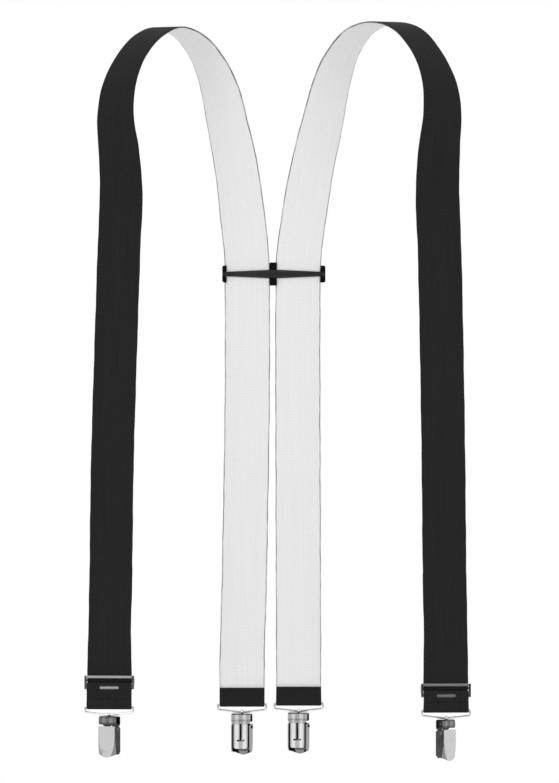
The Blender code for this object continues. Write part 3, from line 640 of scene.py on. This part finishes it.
# ---- stitching ----------------------------------------------------------------------------
def stitches(name, rows, place, body):
    """Thread stitches along rows of (start, end) points in a lower end's frame."""
    sides = 6
    # Each row is a share of the stitch's length from its middle, and of its radius.
    profile = [(-0.5, 0.35), (-0.42, 0.85), (-0.15, 1.0), (0.15, 1.0), (0.42, 0.85), (0.5, 0.35)]
    points = []
    faces = []
    for start, end in rows:
        start = Vector(start)
        run = Vector(end) - start
        along = run.normalized()
        side = along.cross(Vector((0, 1, 0))).normalized()
        count = max(1, int(run.length / STITCH_PITCH))
        for i in range(count):
            centre = start + run * (i + 0.5) / count
            first = len(points)
            for offset, width in profile:
                for j in range(sides):
                    angle = 2 * math.pi * j / sides
                    reach = side * math.cos(angle) + Vector((0, 1, 0)) * math.sin(angle)
                    spot = centre + along * offset * STITCH_LENGTH + reach * width * STITCH_R
                    points.append(place @ spot)
            faces += [tuple(first + v for v in face)
                      for face in grid_faces(len(profile), sides, closed=False)]
    made = mesh_piece(name, points, faces, [THREAD])
    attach(made, body)


def sewing():
    """Two sewn rows through each back flap, and one through each lower tab."""
    w = WEB_HALF_WIDTH - STITCH_MARGIN
    flap = {"flap": 3 * WEB_HALF_THICK + PLY_GAP + STITCH_LIFT,
            "outside": -WEB_HALF_THICK - STITCH_LIFT}
    pinch = 2 * WEB_HALF_THICK + PLY_GAP / 2 + STITCH_LIFT
    tab = {"front": LOWER_BAR_Y - pinch, "rear": LOWER_BAR_Y + pinch}
    for side in SIDES:
        place = end_place(side, "back")
        for where, y in flap.items():
            rows = [((-w, y, z), (w, y, z)) for z in FLAP_STITCH_Z]
            stitches(side + "_back_stitches_" + where, rows, place, "straps")
        place = end_place(side, "front")
        for where, y in tab.items():
            rows = [((-w, y, TAB_STITCH_Z), (w, y, TAB_STITCH_Z))]
            stitches(side + "_tab_stitches_" + where, rows, place, side + "_adjuster")


# ---- metal and plastic --------------------------------------------------------------------
def rounded_loop(corners, steps):
    """A closed path in x and z; each corner row is (x, z, length cut back on each side)."""
    path = []
    count = len(corners)
    for i, (x, z, back) in enumerate(corners):
        here = Vector((x, z))
        before = Vector(corners[i - 1][:2]) - here
        after = Vector(corners[(i + 1) % count][:2]) - here
        start = here + before.normalized() * back
        end = here + after.normalized() * back
        for step in range(steps + 1):
            t = step / steps
            path.append(start * (1 - t) ** 2 + here * 2 * t * (1 - t) + end * t ** 2)
    return path


def wire_ring(prefix, place, wire_y):
    """The round wire ring of a lower end."""
    w = RING_HALF_WIDTH
    corners = [(-w, FOLD_Z, RING_CORNER), (w, FOLD_Z, RING_CORNER), (w, RING_SIDE_Z, RING_CORNER),
               (RING_BOW_X, BOW_Z + 0.6, 4.0), (0.0, BOW_Z - 0.2, 3.0),
               (-RING_BOW_X, BOW_Z + 0.6, 4.0), (-w, RING_SIDE_Z, RING_CORNER)]
    path = rounded_loop(corners, 8)
    sides = 16
    points = []
    for i, spot in enumerate(path):
        along = (path[(i + 1) % len(path)] - path[i - 1]).normalized()
        outward = Vector((along.y, -along.x))
        for j in range(sides):
            angle = 2 * math.pi * j / sides
            spread = outward * WIRE_R * math.cos(angle)
            points.append(place @ Vector((spot.x + spread.x, wire_y + WIRE_R * math.sin(angle),
                                          spot.y + spread.y)))
    made = mesh_piece(prefix + "_wire", points, grid_faces(len(path), sides, closed=True), [NICKEL])
    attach(made, prefix + "_ring")
    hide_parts(prefix + "_ring")


def soften(node, width, look, segments=3):
    """A CAD node with its sharp edges rounded over and a procedural finish."""
    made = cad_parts[node]
    weld = made.modifiers.new("weld", "WELD")
    weld.merge_threshold = WELD_DISTANCE * MM
    bevel = made.modifiers.new("round", "BEVEL")
    bevel.width = width * MM
    bevel.segments = segments
    bevel.limit_method = "ANGLE"
    bevel.angle_limit = math.radians(BEVEL_ANGLE)
    bevel.use_clamp_overlap = True
    for slot in made.material_slots:
        slot.material = look


def clip_place(side, end, wire_y):
    """The frame of a clip: x across it, y from its cover towards the wearer, z = 0 on its neck."""
    swing = Matrix.Rotation(math.radians(SIDES[side][end + "_swing"]), 4, "Z")
    on_swivel = Matrix.Translation(Vector((0, wire_y, NECK_Z)))
    return end_place(side, end) @ on_swivel @ swing @ Matrix.Translation(Vector((0, CLIP_Y, 0)))


def metalwork():
    """The wire rings, and the finishes of the CAD nodes that keep their shape."""
    for side in SIDES:
        # the adjuster's nickel, with painted shade on the side arms
        satin_painted_shade = metal(side + "_adjuster_nickel_painted_shade", grey(0.40), 0.24, 0.42, 0.16,
                      painted_frame_shade(adjuster_place(side)))
        soften(side + "_adjuster_frame", 0.2, satin_painted_shade)
        for end in ("front", "back"):
            prefix = end + "_" + side
            wire_y = LOWER_BAR_Y if end == "front" else WEB_HALF_THICK + PLY_GAP / 2
            wire_ring(prefix, end_place(side, end), wire_y)
            soften(prefix + "_swivel", 0.12, NICKEL, segments=2)
            place = clip_place(side, end, wire_y)
            # each clip's body and cover nickel, with painted shade set for this clip
            plating_and_painted_shade = metal(prefix + "_body_nickel_painted_shade", grey(0.80), 0.12, 0.28, 0.1,
                            painted_body_shade(place, *PAINTED_NECK_SHADE_LEVELS[end]))
            cover = metal(prefix + "_cover_nickel_painted_shade", grey(0.62), 0.12, 0.28, 0.1, painted_cover_shade(place))
            soften(prefix + "_clip_body", 0.14, plating_and_painted_shade)
            soften(prefix + "_clip_lever", 0.12, cover)
            soften(prefix + "_clip_jaw", 0.12, SPRING, segments=2)
            soften(prefix + "_clip_pin", 0.1, SPRING, segments=2)
    soften("crosspiece_plate", 0.25, NYLON_PAINTED_SHADE)
    soften("crosspiece_bar", 0.22, NYLON)


# ---- studio -------------------------------------------------------------------------------
# Places and sizes here are in metres.
CAMERA_PLACE = Vector((0.0054, -12.0, -0.284))
CAMERA_LENS = 712.0
FLOOR_Z = -0.72
FLOOR_RADIUS = 1.7
LIGHT_SIZE = 1.6
LIGHT_TARGET = Vector((0.0, 0.0, -0.25))
# Rows of (name, place, watts).
LIGHTS = [("key", (-1.6, -2.4, 1.6), 18.0), ("fill", (1.8, -2.2, 0.6), 8.0)]
FLAG_REACH = 2.0         # from the vertical through the origin to each black card
FLAG_Z = -0.45
FLAG_HEIGHT = 3.0
# Rows of (name, angle from +X towards +Y in degrees, width).
FLAGS = [("flag_right", 35, 0.9), ("flag_left", 188, 0.9), ("flag_front", -74, 1.75)]


def camera():
    """A level view of the front from far away, so that lines hardly converge."""
    data = bpy.data.cameras.new("camera")
    data.lens = CAMERA_LENS
    data.sensor_width = 36.0
    data.clip_end = 50.0
    made = bpy.data.objects.new("camera", data)
    made.location = CAMERA_PLACE
    made.rotation_euler = (math.pi / 2, 0.0, 0.0)
    bpy.context.scene.collection.objects.link(made)
    bpy.context.scene.camera = made


def area_light(name, place, watts):
    """A square lamp that points at the suspenders."""
    data = bpy.data.lights.new(name, "AREA")
    data.shape = "SQUARE"
    data.size = LIGHT_SIZE
    data.energy = watts
    made = bpy.data.objects.new(name, data)
    made.location = place
    made.rotation_euler = (LIGHT_TARGET - Vector(place)).to_track_quat("-Z", "Y").to_euler()
    bpy.context.scene.collection.objects.link(made)


def floor():
    """A pale round floor below the clips."""
    sides = 64
    points = []
    for i in range(sides):
        angle = 2 * math.pi * i / sides
        points.append(Vector((math.cos(angle), math.sin(angle), 0.0)) * FLOOR_RADIUS / MM)
        points[-1].z = FLOOR_Z / MM
    made = Nodes("pale_floor")
    tone = made.noise(made.coordinates("Object"), 3.0)
    made.link(made.ramp(tone, [(0.3, grey(0.90)), (0.7, grey(0.93))]),
              made.shader.inputs["Base Color"])
    made.shader.inputs["Roughness"].default_value = 0.9
    made.shader.inputs["Specular IOR Level"].default_value = 0.1
    mesh_piece("floor", points, [tuple(range(sides))], [made.material], smooth=False)


def flag(name, angle, width):
    """A black studio card that only shows as a dark reflection in the bright metal."""
    angle = math.radians(angle)
    centre = Vector((FLAG_REACH * math.cos(angle), FLAG_REACH * math.sin(angle), FLAG_Z))
    facing = (Vector((0, 0, FLAG_Z)) - centre).to_track_quat("Z", "Y").to_matrix()
    w = width / 2
    h = FLAG_HEIGHT / 2
    corners = [(-w, -h), (w, -h), (w, h), (-w, h)]
    points = [(centre + facing @ Vector((x, y, 0.0))) / MM for x, y in corners]
    look = Nodes(name)
    look.shader.inputs["Base Color"].default_value = (*grey(0.03), 1.0)
    made = mesh_piece(name, points, [(0, 1, 2, 3)], [look.material], smooth=False)
    made.visible_camera = False
    made.visible_diffuse = False
    made.visible_shadow = False


def studio():
    """A white surround with two soft lamps, the floor, the camera and the black cards."""
    scene = bpy.context.scene
    world = bpy.data.worlds.new("studio")
    world.use_nodes = True
    background = world.node_tree.nodes["Background"]
    background.inputs["Color"].default_value = (1.0, 1.0, 1.0, 1.0)
    background.inputs["Strength"].default_value = 1.0
    scene.world = world
    scene.view_settings.view_transform = "Standard"
    for name, place, watts in LIGHTS:
        area_light(name, place, watts)
    floor()
    camera()
    for name, angle, width in FLAGS:
        flag(name, angle, width)


for strap_side in SIDES:
    straps(strap_side)
    lower_tab(strap_side)
sewing()
metalwork()
studio()
